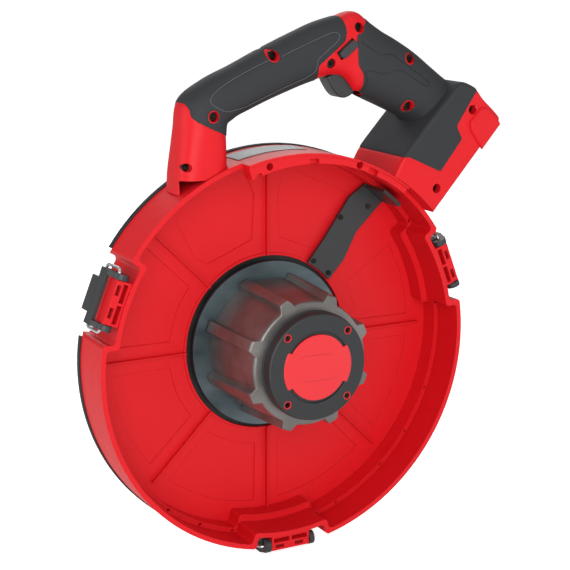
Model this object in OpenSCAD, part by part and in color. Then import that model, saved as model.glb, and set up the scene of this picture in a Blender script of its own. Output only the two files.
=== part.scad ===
// Drain snake machine, powered rear half: dish, drive hub, handle, latches.
// Millimetres, +Z up. The drum axis is Y, pointing away from the open side.
// The origin is on the drum axis, in the plane of the dish's front rim.

/* [Housing] */
// Outer radius of the dish
dish_r = 165; // [160:0.5:168]
// Depth of the dish from the rim to the rear face
dish_depth = 52; // [50:1:56]
// Thickness of the dish wall
wall = 4; // [3:0.5:5]
// Depth from the rim to the inner ledge
ledge_y = 30; // [26:1:34]
// Depth from the rim to the floor
floor_y = 46; // [45:0.5:47]
// Radius of the centre opening in the floor
opening_r = 73.5; // [72:0.5:76]
// Radius of the notch floor at each latch
notch_r = 155; // [154:0.5:156]
// Half of the angle that each latch notch takes
notch_half = 11.5; // [11:0.1:12]
// How far the arch stands in front of the rim
arch_y = 12; // [8:1:14]

/* [Hub] */
// Outer radius of the hub casting at its front
hub_front_r = 50.5; // [49:0.5:52]
// Outer radius of the hub casting at its rear
hub_rear_r = 55.3; // [54:0.1:57]
// Radius to the tip of a drive lug at the front
lug_front_r = 56.4; // [55:0.1:58]
// Radius to the tip of a drive lug at the rear
lug_rear_r = 61; // [59:0.5:63]
// Width of a drive lug
lug_w = 10; // [8:0.5:12]
// Angle of the first drive lug at rest
lug_phase = 23.8; // [0:0.1:44]
// Radius of the plate behind the hub
flange_r = 69.6; // [68:0.1:71]
// Radius of the hub cap
cap_r = 42.9; // [42:0.1:43]
// Radius to the cap screws
cap_screw_r = 38; // [37:0.1:38.5]

/* [Gears] */
// Gear module
gear_m = 1.25; // [1.25]
// Teeth on the sun gear
sun_teeth = 12; // [12]
// Teeth on each planet gear
planet_teeth = 24; // [24]
// Teeth on the ring gear
ring_teeth = 60; // [60]
// Play between tooth flanks
backlash = 0.5; // [0.4:0.05:0.6]

/* [Handle] */
// Depth of the handle's middle plane behind the rim
mid_y = 22; // [21:0.5:23]
// Half width of the grip
grip_half = 20; // [18:0.5:21]
// Thickness of the soft overmould
skin = 1.6; // [1.2:0.1:2]
// Wall of the handle shells under the overmould
shell_wall = 2.6; // [2.2:0.1:3]
// Half width of the battery foot
foot_half = 36; // [34:0.5:38]
// Length of the battery foot
foot_len = 97; // [95:1:99]
// Travel of the trigger
trigger_travel = 6; // [5:0.5:6]
// Half width of the trigger
trigger_half = 8.5; // [7.5:0.5:9]
// Travel of the direction selector to each side
selector_travel = 3; // [2:0.5:3]

/* [Latches] */
// Radius of the latch wire
wire_r = 1.3; // [1.2:0.05:1.4]
// Half width of the latch bracket
bracket_half = 17.5; // [16:0.5:18]
// Half distance between the legs of the bail
bail_half = 25.5; // [25:0.5:26.5]

/* [Hidden] */
$fn = 96;
e = 0.01;
fit = 0.05;

latch_angles = [158.5, 21.5, -90];
rib_angles = [0, 90, 135, 180, 225, 270, 315];
rear_y = dish_depth;
bumper_y = 43;
floor_back = floor_y + 2.5;
inner_r = dish_r - wall;
well_r = dish_r - 8;
ledge_drop = 8;
side_angle = asin(wall / notch_r);
hub_front_y = -29.5;
hub_rear_y = 40;
cap_front_y = -41.5;
planet_centre = gear_m * (sun_teeth + planet_teeth) / 2;
gear_y = [-23.5, -12];

red = "#DD2A36";
dark = "#45474A";
zinc = "#9AA0A3";

// ---------- placing ----------

function polar(r, a) = [r * cos(a), r * sin(a)];

// A flat outline in XZ, given thickness from y0 back to y1
module slab(y0, y1) {
    translate([0, y1, 0]) rotate([90, 0, 0]) linear_extrude(y1 - y0) children();
}

// A disc or a tapered disc on the drum axis, from y0 back to y1
module disc(y0, y1, r0, r1 = -1) {
    translate([0, y0, 0]) rotate([-90, 0, 0]) cylinder(y1 - y0, r0, r1 < 0 ? r0 : r1);
}

module tube(y0, y1, r_in, r_out) {
    difference() {
        disc(y0, y1, r_out);
        disc(y0 - 1, y1 + 1, r_in);
    }
}

// A profile of [radius, y] points turned about the drum axis
module turned(points) {
    rotate([90, 0, 0]) rotate_extrude() polygon([for (p = points) [p[0], -p[1]]]);
}

// Turns things from the +X side to another angle about the drum axis
module at_angle(a) {
    rotate([0, -a, 0]) children();
}

// A rod along Y at x, z
module rod(x, z, y0, y1, r) {
    translate([x, y0, z]) rotate([-90, 0, 0]) cylinder(y1 - y0, r, r);
}

// A rod along Z of the latch frame, which is the tangent there
module cross_rod(r_at, y_at, half, r) {
    translate([r_at, y_at, -half]) cylinder(2 * half, r, r, $fn = 48);
}

// ---------- rim outline with the three latch notches ----------

module sector(half, r_in, r_out) {
    reach = r_out / cos(half);
    difference() {
        polygon([[0, 0], polar(reach, -half), polar(reach, half)]);
        circle(r_in);
    }
}

// What is left in one inner corner of a notch, with its corner rounded in three short flats
module inner_corner(half, r, fillet) {
    rotate(half) translate([r, 0])
        polygon([[-0.5, 0.3], [fillet, 0.3], [fillet / 2, -0.134 * fillet], [fillet * 0.134, -fillet / 2],
                 [-0.4, -fillet - 0.1], [-0.5, -fillet - 0.1]]);
}

// The part outside an outer corner of a notch, rounded in three short flats
module outer_corner(half, r, fillet) {
    rotate(half) translate([r, 0])
        polygon([[3, -0.3], [-fillet, -0.3], [-fillet / 2, 0.134 * fillet], [-0.134 * fillet, fillet / 2],
                 [0.4, fillet + 0.1], [3, fillet + 0.1]]);
}

module notched_disc(r, r_notch, half, fillet = 3.5) {
    difference() {
        circle(r, $fn = 180);
        for (a = latch_angles) rotate(a) {
            difference() {
                sector(half, r_notch, r + 5);
                inner_corner(half, r_notch, fillet);
                mirror([0, 1]) inner_corner(half, r_notch, fillet);
            }
            outer_corner(half, r, fillet);
            mirror([0, 1]) outer_corner(half, r, fillet);
        }
    }
}

// ---------- housing ----------

arch_from = 52.5;
arch_to = 106;
arch_bores = [[158.7, 99.8], [161.3, 70.5]];
drain_angles = [36, 7, -21, -36, -49, -68, -75.5, -104.5, -116, -128];

// The raised arch along the top of the rim, that meets the front half
module arch_outline(r_out) {
    intersection() {
        difference() {
            circle(r_out, $fn = 180);
            translate(polar(15, 57)) circle(143.4, $fn = 180);
        }
        polygon([[0, 0], polar(230, arch_from), polar(230, 80), polar(230, arch_to)]);
    }
}

module arch() {
    difference() {
        union() {
            slab(-arch_y, e) arch_outline(dish_r);
            slab(-arch_y - 1.5, -arch_y + e) difference() {
                arch_outline(dish_r);
                circle(dish_r - 1.8, $fn = 180);
            }
        }
        for (p = arch_bores) at_angle(p[1]) rod(p[0], 0, -arch_y - 5, 6, 2.9);
        for (p = [[85.5, 158.6, 8.4, 4], [65.5, 160.4, 9, 4], [103.5, 154.5, 5, 2.5]])
            at_angle(p[0]) translate([p[1] - 10, -arch_y - 3, -p[2] / 2]) cube([10 + p[3] / 2, 8.3, p[2]]);
    }
}

// A sunk floor panel between two ribs, as seen in the lower part of the dish
module floor_panel(middle, half_in, half_out, r_in, r_out) {
    rotate(middle) intersection() {
        difference() {
            circle(r_out);
            circle(r_in);
        }
        polygon([polar(r_in - 8, -half_in), polar(r_out + 8, -half_out),
                 polar(r_out + 8, half_out), polar(r_in - 8, half_in)]);
    }
}

// A sunk floor panel with a pointed outline, as seen at the top of the dish
module pointed_panel(middle) {
    rotate(middle) polygon([[86, -22], [86, 22], [97, 30], [131, 33], [141, 22], [141, -38], [120, -38]]);
}

module latch_bracket() {
    difference() {
        translate([notch_r - 1.5, 1.8, -bracket_half]) cube([13.5, 12.2, 2 * bracket_half]);
        for (s = [-1, 1]) {
            translate([156.6, -1, s * 8.3 - 7.3]) cube([3.8, 10, 14.6]);
            translate([162.2, -1, s * 9 - 5]) cube([3, 20, 8]);
        }
        cross_rod(164.2, 8, 30, wire_r + fit);
    }
}

module rear_housing() color(red) {
    well_half = notch_half + side_angle + 0.5;
    well_notch_r = notch_r - wall - ledge_drop + 2;
    difference() {
        union() {
            difference() {
                slab(0, floor_back) notched_disc(dish_r, notch_r, notch_half);
                slab(-1, ledge_y) notched_disc(inner_r, notch_r - wall, notch_half + side_angle);
                slab(ledge_y - 1, floor_y) notched_disc(well_r, well_notch_r, well_half);
                tube(bumper_y, floor_back + 1, dish_r - 2.5, dish_r + 20);
            }
            slab(ledge_y - 1.2, ledge_y + 0.5) difference() {
                notched_disc(well_r + 1.3, well_notch_r + 1.3, well_half - 0.25);
                notched_disc(well_r, well_notch_r, well_half);
            }
            tube(floor_y - 1.4, floor_y + 1, opening_r, opening_r + 2);
            for (a = rib_angles) at_angle(a)
                translate([opening_r + 0.5, floor_y - 4, -0.7]) cube([well_r - opening_r - 8, 4.5, 1.4]);
            for (a = latch_angles) at_angle(a) latch_bracket();
            arch();
        }
        disc(floor_y - 10, floor_back + 1, opening_r);
        for (m = [112.5, 67.5]) slab(floor_y - e, floor_y + 1)
            mirror([m == 112.5 ? 0 : 1, 0]) pointed_panel(m == 112.5 ? m : 180 - m);
        for (m = [-22.5, -67.5, -112.5, -157.5]) slab(floor_y - e, floor_y + 1)
            floor_panel(m, 15, 18, 88, 139);
        slab(floor_y - e, floor_y + 1) floor_panel(157.5, 15, 18, 88, 139);
        slab(floor_y - e, floor_y + 1) floor_panel(17, 11, 14, 88, 139);
        for (a = drain_angles) at_angle(a) rod(159.2, 0, ledge_y - 2, ledge_y + 6, 1.4);
        for (k = [0 : 5]) at_angle(60 * k + 30) rod(77.5, 0, floor_y + 0.8, floor_back + 1, 1.5);
    }
}

module bumper_ring() color("#2B2C2E") {
    difference() {
        union() {
            tube(bumper_y + fit, rear_y, dish_r - 2.5 + fit, dish_r + 1);
            tube(floor_back + fit, rear_y, dish_r - 12, dish_r);
        }
        for (a = latch_angles) at_angle(a) translate([140, bumper_y - 1, -36.5]) cube([40, 30, 73]);
        turned([[dish_r - 2, rear_y + 1], [dish_r + 5, rear_y + 1], [dish_r + 5, rear_y - 6],
                [dish_r + 1, rear_y - 4]]);
    }
}

// A thin plain plate that follows the top of the dish
module rating_plate() color("#B9BBBD") {
    intersection() {
        tube(10, 34, dish_r + 0.02, dish_r + 0.5);
        slab(0, 60) polygon([[0, 0], polar(230, 84), polar(230, 105)]);
    }
}

module rear_motor_cover() color(dark) {
    difference() {
        union() {
            disc(floor_back + 1.8, rear_y, 88);
            tube(floor_back, floor_back + 1.8 + e, 83.2, 88);
        }
        for (k = [0 : 5]) at_angle(60 * k) rod(85.5, 0, floor_back - 1, rear_y + 1, 1.25);
        for (k = [0 : 5], r = [24, 34, 44]) at_angle(60 * k)
            translate([r, rear_y - 5, -9]) cube([3, 10, 18]);
    }
}

module rear_cover_screws() color(zinc) {
    for (k = [0 : 5]) at_angle(60 * k) {
        rod(85.5, 0, floor_back, rear_y - 1, 1.2);
    }
}

// ---------- handle ----------

// Cross sections along the handle, from the foot of the leg over the grip to the battery foot.
// Each is [x, z, angle from the middle to the inner side, half thickness, half width, squareness].
HANDLE = [
    [-73.4, 136, 0, 22.6, 20.5, 2.5],
    [-73.0, 150, 0, 22.2, 20.5, 2.5],
    [-71.6, 172, 0, 21.0, 20.2, 2.5],
    [-70.6, 184, -6, 20.7, 20, 2.5],
    [-68.2, 197, -27, 21.6, 20, 2.4],
    [-56.0, 206, -52, 19.8, 20, 2.3],
    [-35.7, 215, -65, 19.2, 20, 2.25],
    [-9.4, 226, -67, 20.2, 20, 2.25],
    [19.6, 236.6, -71, 21.6, 20, 2.25],
    [36, 241.5, -76, 23, 20, 2.3],
    [50, 242.5, -86, 25.8, 20, 2.4],
    [64, 238.4, -95, 33.0, 20.3, 2.5],
    [70, 234.8, -101, 30.4, 20.5, 2.45],
    [79, 229.6, -108, 28.6, 20.8, 2.4],
    [91, 223.6, -115, 28, 21, 2.3],
    [108, 214.6, -119, 26.8, 21.5, 2.25],
    [123, 205, -126, 25, 23, 2.3],
    [134, 197, -132, 24.4, 26, 2.5],
    [140, 192, -134, 24.6, 29, 3]
];

function ring_point(s, a, inset) =
    let (c = cos(a), v = sin(a), power = 2 / s[5],
         u = (s[3] - inset) * sign(c) * pow(abs(c), power))
    [s[0] + u * cos(s[2]), mid_y + (s[4] - inset) * sign(v) * pow(abs(v), power), s[1] + u * sin(s[2])];

// One closed skin through all of the cross sections, shrunk evenly by inset
module handle_loft(inset, sides = 24) {
    last = len(HANDLE) - 1;
    points = [for (s = HANDLE, i = [0 : sides - 1]) ring_point(s, 360 * (i + 0.5) / sides, inset)];
    quads = [for (j = [0 : last - 1], i = [0 : sides - 1])
        [j * sides + i, j * sides + (i + 1) % sides, (j + 1) * sides + (i + 1) % sides, (j + 1) * sides + i]];
    triangles = [for (q = quads, h = [0, 1]) h == 0 ? [q[0], q[2], q[1]] : [q[0], q[3], q[2]]];
    ends = [[for (i = [0 : sides - 1]) i], [for (i = [sides - 1 : -1 : 0]) last * sides + i]];
    polyhedron(points, concat(triangles, ends));
}

// The battery foot's own frame: u along the battery face, w into the foot
foot_corner = [125.9, 109.4];
foot_turn = 48.5;

module foot_frame() {
    translate([foot_corner[0], 0, foot_corner[1]]) rotate([0, -foot_turn, 0]) children();
}

module foot_outline(inset) {
    polygon([[-14 + inset, inset], [foot_len - inset, inset], [foot_len - inset, 27],
             [foot_len + 2 - inset, 30], [foot_len + 2 - inset, 36], [foot_len - 3 - inset, 50 - inset],
             [48, 53 - inset], [13, 54.5 - inset], [-14 + inset, 48 - inset]]);
}

// The side of the foot stands a little proud at its outer corner
module foot_bump(y0, y1) {
    foot_frame() slab(y0, y1)
        polygon([[65, -1.5], [92, -1.5], [94, 5], [93, 20], [90, 23], [75, 24], [70, 19], [66, 4]]);
}

module foot_block(inset) {
    foot_frame() slab(mid_y - foot_half + inset, mid_y + foot_half - inset) foot_outline(inset);
}

module handle_body(inset) {
    difference() {
        union() {
            handle_loft(inset);
            foot_block(inset);
        }
        disc(-40, 80, dish_r + 0.02 + (inset > skin ? shell_wall : 0));
        disc(bumper_y, 80, dish_r + 1.1 + (inset > skin ? shell_wall : 0));
    }
}

// Where the soft covers lie, as outlines in XZ
module grip_zone() {
    polygon([[-96, 216], [-86.7, 204.9], [-85.2, 201.9], [-84.9, 195.3], [-80.4, 191.5], [-68.8, 185.4],
             [-57.2, 180.6], [-30, 168], [27.5, 200], [27.9, 218.3], [24.3, 229.8], [48.2, 248.8],
             [50.3, 255.7], [50.4, 268.4], [52, 292], [-40, 260]]);
}

module neck_zone() {
    polygon([[84, 290], [72.6, 265], [68.6, 262], [59.6, 256.2], [58.1, 249.3], [59.8, 229.3], [65.1, 221.9],
             [66.7, 213.4], [65.5, 204.9], [64, 190], [85, 158], [93.9, 155.5], [99.7, 155.2],
             [130, 141.4], [150.7, 167.3], [145.1, 178.1], [162.8, 204.7], [175, 222], [150, 240]]);
}

module zones() {
    slab(mid_y - 60, mid_y + 60) grip_zone();
    slab(mid_y - 60, mid_y + 60) neck_zone();
}

// The trigger's own frame: q along the grip, p the way it is pulled
trigger_at = [53, 212];
trigger_turn = 25;
pull = [-sin(trigger_turn), cos(trigger_turn)];

module trigger_frame() {
    translate([trigger_at[0], 0, trigger_at[1]]) rotate([0, -trigger_turn, 0]) children();
}

module trigger_outline() {
    polygon([[-10, 14], [-10, 8], [-8.6, 3], [-8.8, -1.5], [-7, -5.6], [-3.4, -8.6], [1.5, -10],
             [6.5, -9.8], [10, -7.6], [12, -2], [12, 14]]);
}

module trigger_opening() {
    trigger_frame() translate([-10.6, mid_y - trigger_half - 0.6, -40])
        cube([23.2, 2 * trigger_half + 1.2, 62.5]);
}

selector_at = [49.2, 242.2];
selector_turn = 38;

module selector_outline(gap) {
    polygon([[-8.5 - gap, -2.2 - gap], [-6.2 - gap, -3.5 - gap], [7.5 + gap, -3.5 - gap],
             [9 + gap, -1.5 - gap], [9 + gap, 2 + gap], [7.2 + gap, 3.7 + gap], [-7 - gap, 3.7 + gap],
             [-8.5 - gap, 2 + gap]]);
}

module selector_frame() {
    translate([selector_at[0], 0, selector_at[1]]) rotate([0, -selector_turn, 0]) children();
}

// Handle screws: [x, z, depth of the head's front, depth of the screw's end]
SCREWS = [
    [-89, 157.5, 9.5, 35], [-67.7, 195.2, 5, 39], [-14.3, 239, 9.5, 36], [61.2, 258.8, 8, 37],
    [35.6, 231.7, 5.5, 39], [109.6, 232.7, 7, 37], [108.7, 194.7, 6.5, 38],
    [160, 190.8, -7.5, 44], [126.5, 128.1, -7.5, 44]
];

module shell_solid() {
    difference() {
        union() {
            difference() {
                handle_body(0);
                zones();
            }
            handle_body(skin);
        }
        handle_body(skin + shell_wall);
    }
}

module boss_set(front) {
    intersection() {
        handle_body(0.3);
        for (s = SCREWS)
            rod(s[0], s[1], front ? mid_y - foot_half - 1 : mid_y, front ? mid_y : mid_y + foot_half, 5.4);
    }
}

module screw_holes(front) {
    for (s = SCREWS) {
        rod(s[0], s[1], -60, s[2], 3.9);
        rod(s[0], s[1], s[2] - 1, front ? mid_y + 1 : s[3] + 0.5, front ? 2.05 : 2);
        if (front) rod(s[0], s[1], -60, s[2] + 2.6, 3.6);
    }
}

module shell_cuts() {
    trigger_opening();
    selector_frame() slab(-40, 90) selector_outline(0.35);
    foot_frame() translate([20.5, mid_y - 29, -5]) cube([foot_len, 58, 17]);
    // the leg is open at the front below its lower edge
    difference() {
        slab(-10, mid_y - 4) polygon([[-93.4, 120], [-93.4, 147.3], [-60, 147.3], [-60, 120]]);
        slab(-20, 60) polygon([[-90, 100], [-93.4, 100], [-93.4, 126]]);
    }
}

module handle_front_shell() color(red) {
    difference() {
        intersection() {
            union() {
                shell_solid();
                boss_set(true);
                foot_bump(mid_y - foot_half - 2.6, mid_y - foot_half + 1);
                // a lip that lies on the dish along the lower end of the foot
                intersection() {
                    tube(mid_y - foot_half, 6, dish_r + 0.02, dish_r + 3);
                    slab(-30, 30) polygon([[0, 0], polar(230, 41), polar(230, 53)]);
                }
            }
            translate([-150, -80, 80]) cube([400, 80 + mid_y - e, 250]);
        }
        screw_holes(true);
        shell_cuts();
    }
}

module handle_rear_shell() color(red) {
    difference() {
        intersection() {
            union() {
                shell_solid();
                boss_set(false);
                foot_bump(mid_y + foot_half - 1, mid_y + foot_half + 2.6);
            }
            translate([-150, mid_y, 80]) cube([400, 100, 250]);
        }
        screw_holes(false);
        shell_cuts();
    }
}

module cover(front) {
    difference() {
        intersection() {
            handle_body(0);
            slab(front ? mid_y - 60 : mid_y, front ? mid_y - e : mid_y + 60) children();
        }
        handle_body(skin);
        shell_cuts();
        if (front) for (s = SCREWS) rod(s[0], s[1], -60, mid_y, 5.4);
        if (!front) for (s = SCREWS) rod(s[0], s[1], mid_y, 70, 5.4);
    }
}

module grip_cover_front() color(dark) {
    cover(true) grip_zone();
}

module grip_cover_rear() color(dark) {
    cover(false) grip_zone();
}

module neck_cover_front() color(dark) {
    cover(true) neck_zone();
}

module neck_cover_rear() color(dark) {
    cover(false) neck_zone();
}

module handle_screws() color(zinc) {
    for (s = SCREWS) difference() {
        union() {
            rod(s[0], s[1], s[2], s[2] + 2.6, 3.5);
            rod(s[0], s[1], s[2], s[3], 1.95);
        }
        rod(s[0], s[1], s[2] - 1, s[2] + 1.6, 1.6);
    }
}

module battery_rails() color("#2E3032") {
    foot_frame() difference() {
        translate([20.8, mid_y - 28.7, 1]) cube([foot_len - 22.5, 57.4, 10.7]);
        translate([5, mid_y - 22, -1]) cube([foot_len, 44, 7.5]);
        for (s = [-1, 1]) translate([5, mid_y + s * 24 - 4, 3.4]) cube([foot_len, 8, 3]);
        for (k = [-1.5 : 1 : 1.5]) translate([40, mid_y + k * 9 - 0.6, 4]) cube([20.2, 1.2, 9]);
    }
}

module battery_terminals() color("#C8A24C") {
    foot_frame() for (k = [-1.5 : 1 : 1.5])
        translate([40.1, mid_y + k * 9 - 0.5, 2.4]) cube([20, 1, 11.5]);
}

module trigger() color(dark) {
    trigger_frame() slab(mid_y - trigger_half, mid_y + trigger_half) trigger_outline();
}

module trigger_switch() color("#1F2022") {
    trigger_frame() {
        translate([13.2, mid_y - 8, 2]) cube([18, 16, 21.2]);
        translate([-2, mid_y - 5, 22.4]) cube([16, 10, 0.8]);
    }
}

// A coil of round wire about p, the way that the trigger moves
module trigger_spring() color(zinc) {
    turns = 4;
    steps = 14 * turns;
    sides = 8;
    r_coil = 3.2;
    r_wire = 0.45;
    points = [for (j = [0 : steps], i = [0 : sides - 1])
        let (a = 360 * turns * j / steps, b = 360 * i / sides, r = r_coil + r_wire * cos(b))
        [r * cos(a), mid_y + r * sin(a), 14.5 + 7.4 * j / steps + r_wire * sin(b)]];
    quads = [for (j = [0 : steps - 1], i = [0 : sides - 1])
        [j * sides + i, j * sides + (i + 1) % sides, (j + 1) * sides + (i + 1) % sides, (j + 1) * sides + i]];
    triangles = [for (q = quads, h = [0, 1]) h == 0 ? [q[0], q[1], q[2]] : [q[0], q[2], q[3]]];
    ends = [[for (i = [sides - 1 : -1 : 0]) i], [for (i = [0 : sides - 1]) steps * sides + i]];
    trigger_frame() translate([1.7, 0, 0]) polyhedron(points, concat(triangles, ends));
}

module direction_selector() color(dark) {
    selector_frame() slab(mid_y - 24, mid_y + 24) selector_outline(0);
}

module control_board() color("#2F5D3A") {
    foot_frame() translate([20, mid_y - 26, 20]) cube([62, 52, 1.6]);
}

// ---------- wire cover ----------

cover_turn = 50;

module wire_cover_outline() {
    polygon([polar(opening_r + 0.3, 60), polar(98, 57.6), polar(140, 56.6), polar(well_r - 0.3, 54),
             polar(well_r - 0.3, 45.4), polar(120, 46), polar(95.5, 41.6), polar(opening_r + 0.3, 40)]);
}

module wire_cover() color("#3E4042") {
    difference() {
        union() {
            slab(floor_y - 5, floor_y - 2) wire_cover_outline();
            intersection() {
                tube(ledge_y - 18, floor_y - 2.5, well_r - 3.2, well_r - 0.3);
                slab(0, 60) polygon([polar(100, 45.8), polar(230, 45.8), polar(230, 53.6), polar(100, 53.6)]);
            }
            for (p = COVER_SCREWS) at_angle(p[1]) rod(p[0], 0, floor_y - 2.5, floor_y, 2.1);
        }
        for (p = COVER_SCREWS) at_angle(p[1]) rod(p[0], 0, 0, 60, 1.3);
        disc(0, 60, opening_r + 0.8);
    }
}

COVER_SCREWS = [[78, 57], [78, 43.5], [143, 48.6], [121, 55.8]];

module wire_cover_screws() color(zinc) {
    for (p = COVER_SCREWS) at_angle(p[1]) {
        rod(p[0], 0, floor_y - 5.9, floor_y - 5, 2.2);
        rod(p[0], 0, floor_y - 5 - e, floor_y - 0.1, 1.25);
    }
}

module motor_leads() color("#1B1B1C") {
    for (k = [-1 : 1]) at_angle(51.9 + 1.7 * k)
        translate([75.8, floor_y - 0.98, 0]) rotate([0, 90, 0]) cylinder(77, 0.9, 0.9, $fn = 24);
}

// ---------- drive ----------

module motor_mount() color("#8F9497") {
    difference() {
        union() {
            disc(floor_back + e, floor_back + 1.8, 83);
            tube(-5, floor_back + 1, 33, 36);
            tube(40.5, floor_back + 1, 10, 36);
        }
        disc(30, 60, 10.02);
        for (k = [0 : 5]) at_angle(60 * k + 30) rod(77.5, 0, 40, 60, 1.55);
    }
}

module mount_screws() color(zinc) {
    for (k = [0 : 5]) at_angle(60 * k + 30) rod(77.5, 0, floor_y + 0.9, floor_back + 1.7, 1.45);
}

module stator() color("#6F7376") {
    difference() {
        disc(3, 33, 32.95);
        disc(0, 40, 19);
        for (k = [0 : 11]) at_angle(30 * k + 15) translate([18, 0, -2.6]) cube([10, 40, 5.2]);
    }
}

module stator_windings() color("#B4692F") {
    for (y = [0.2, 33.2]) tube(y, y + 2.6, 20, 30);
}

module rotor() color("#7A7E80") {
    disc(4, 32, 18.3);
    disc(-26, 48, 4);
}

module rotor_bearings() color(zinc) {
    tube(-10.5, -5.5, 4.05, 9);
    tube(41, 47, 4.05, 10);
}

function tooth(r_pitch, n, k, grow) = let (step = 360 / n, thick = 90 / n - grow) [
    [r_pitch - 1.25 * gear_m, k * step - thick * 1.35],
    [r_pitch, k * step - thick],
    [r_pitch + gear_m, k * step - thick * 0.45],
    [r_pitch + gear_m, k * step + thick * 0.45],
    [r_pitch, k * step + thick],
    [r_pitch - 1.25 * gear_m, k * step + thick * 1.35]
];

// A spur outline; slack is the angle taken off each side of a tooth
module spur(n, slack) {
    r_pitch = gear_m * n / 2;
    polygon([for (k = [0 : n - 1]) each [for (p = tooth(r_pitch, n, k, slack)) polar(p[0], p[1])]]);
}

module sun_gear() color(zinc) {
    slab(gear_y[0], gear_y[1]) difference() {
        spur(sun_teeth, asin(backlash / 4 / (gear_m * sun_teeth / 2)));
        circle(4.02);
    }
}

module planet_gear(k) color("#8C8F91") {
    at_angle(120 * k) translate([planet_centre, 0, 0]) slab(gear_y[0], gear_y[1]) difference() {
        rotate(planet_turn) spur(planet_teeth, asin(backlash / 4 / (gear_m * planet_teeth / 2)));
        circle(3.05);
    }
}

planet_turn = 180 / planet_teeth;

module ring_gear() color("#8C8F91") {
    slab(gear_y[0], gear_y[1]) difference() {
        circle(43.9);
        ring_gap_outline();
    }
}

// The space inside the ring gear, with a tooth pointing in at angle 0
module ring_gap_outline() {
    n = ring_teeth;
    r = gear_m * n / 2;
    step = 360 / n;
    thick = 90 / n + asin(backlash / 4 / r);
    polygon([for (k = [0 : n - 1]) let (a = (k + 0.5) * step) each [
        polar(r - gear_m, a - thick * 1.35), polar(r, a - thick), polar(r + 1.25 * gear_m, a - thick * 0.45),
        polar(r + 1.25 * gear_m, a + thick * 0.45), polar(r, a + thick), polar(r - gear_m, a + thick * 1.35)]]);
}

module planet_carrier() color("#9DA1A4") {
    difference() {
        disc(-10.5, -5, 35.9);
        disc(-20, 0, 9);
    }
    for (k = [0 : 2]) at_angle(120 * k) rod(planet_centre, 0, gear_y[0], -10.5 + e, 3);
}

module hub_bearings() color(zinc) {
    tube(-3, 5, 36, 43.95);
    tube(29, 38, 36, 43.95);
}

module lug(a) {
    at_angle(a) intersection() {
        translate([46, hub_front_y - 2, -lug_w / 2]) cube([30, 80, lug_w]);
        disc(hub_front_y + 1.2, hub_rear_y - 0.5, lug_front_r, lug_rear_r);
    }
}

module hub_casting() color("#8B8D8C") {
    difference() {
        union() {
            disc(hub_front_y, hub_rear_y, hub_front_r, hub_rear_r);
            for (k = [0 : 7]) lug(lug_phase + 45 * k);
        }
        disc(-24 - e, hub_rear_y + 1, 44);
        disc(-40, 0, 8);
        for (k = [0 : 3]) at_angle(45 + 90 * k) rod(cap_screw_r, 0, -40, -25, 1.6);
        for (k = [0 : 7]) at_angle(45 * k + 10) rod(49.5, 0, 30, 50, 1.6);
    }
}

module drive_flange() color("#5F6F72") {
    difference() {
        disc(hub_rear_y, hub_rear_y + 3, flange_r);
        disc(30, 50, 44);
        for (k = [0 : 7]) at_angle(45 * k + 10) rod(49.5, 0, 30, 50, 1.65);
    }
}

module flange_screws() color(zinc) {
    for (k = [0 : 7]) at_angle(45 * k + 10) {
        rod(49.5, 0, 31, 44.4, 1.55);
        rod(49.5, 0, 43, 44.5, 2.8);
    }
}

module hub_cap() color(dark) {
    difference() {
        disc(cap_front_y, hub_front_y, cap_r);
        disc(cap_front_y + 3, hub_front_y + 1, cap_r - 9);
        disc(cap_front_y - 1, cap_front_y + 1.4, 26.9);
        slab(cap_front_y - 1, cap_front_y + 1.4) badge_outline(0.15);
        for (k = [0 : 3]) at_angle(45 + 90 * k) {
            rod(cap_screw_r, 0, cap_front_y - 1, cap_front_y + 3, 3);
            rod(cap_screw_r, 0, cap_front_y - 1, -20, 1.65);
        }
    }
}

module badge_outline(gap) {
    circle(26.8 + gap);
    intersection() {
        circle(28.6 + gap);
        square([80, 27 + 2 * gap], center = true);
    }
}

module hub_badge() color("#E8323E") {
    slab(cap_front_y - 0.5, cap_front_y + 1.4) badge_outline(0);
}

module cap_screws() color("#2C2D2F") {
    for (k = [0 : 3]) at_angle(45 + 90 * k) difference() {
        union() {
            rod(cap_screw_r, 0, cap_front_y + 1, cap_front_y + 3, 2.8);
            rod(cap_screw_r, 0, cap_front_y + 2, -26, 1.55);
        }
        rod(cap_screw_r, 0, cap_front_y, cap_front_y + 2.2, 1.2);
    }
}

// ---------- latches ----------

// The wire is one closed loop: two rods across and two legs, with round corners
module latch_bail(k) color(zinc) {
    at_angle(latch_angles[k]) {
        cross_rod(164.2, 8, bail_half, wire_r);
        cross_rod(166, 30, bail_half, wire_r);
        for (s = [-1, 1]) {
            translate([164.2, 8, s * bail_half]) sphere(wire_r * 1.04, $fn = 32);
            translate([166, 30, s * bail_half]) sphere(wire_r * 1.04, $fn = 32);
            translate([164.2, 8, s * bail_half]) rotate([-90, 0, -atan(1.8 / 22)])
                cylinder(norm([1.8, 22]), wire_r, wire_r, $fn = 48);
        }
    }
}

// Side view of a lever arm in the latch frame, [radius, y]
module arm_outline() {
    difference() {
        union() {
            translate([163, 6.6]) circle(6);
            polygon([[157.5, 8], [169, 6.6], [171.4, 14], [171.4, 27], [163.4, 27], [160, 17]]);
        }
        polygon([[164.2 + wire_r + 0.25, 6.4], [164.2 + wire_r + 0.25, 9.6], [150, 12.5], [150, 6.2]]);
    }
}

module latch_lever(k) color(dark) {
    at_angle(latch_angles[k]) difference() {
        union() {
            for (z = [-22.5, 18]) translate([0, 0, z]) linear_extrude(4.5) arm_outline();
            translate([168.6, 14.5, -18.5]) cube([2.9, 12, 37]);
            translate([168.4, 25.5, -14]) cube([3.2, 12.5, 28]);
            translate([163, 27.5, -13.5]) cube([6.5, 6, 27]);
        }
        cross_rod(166, 30, 40, wire_r + fit);
    }
}

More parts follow.
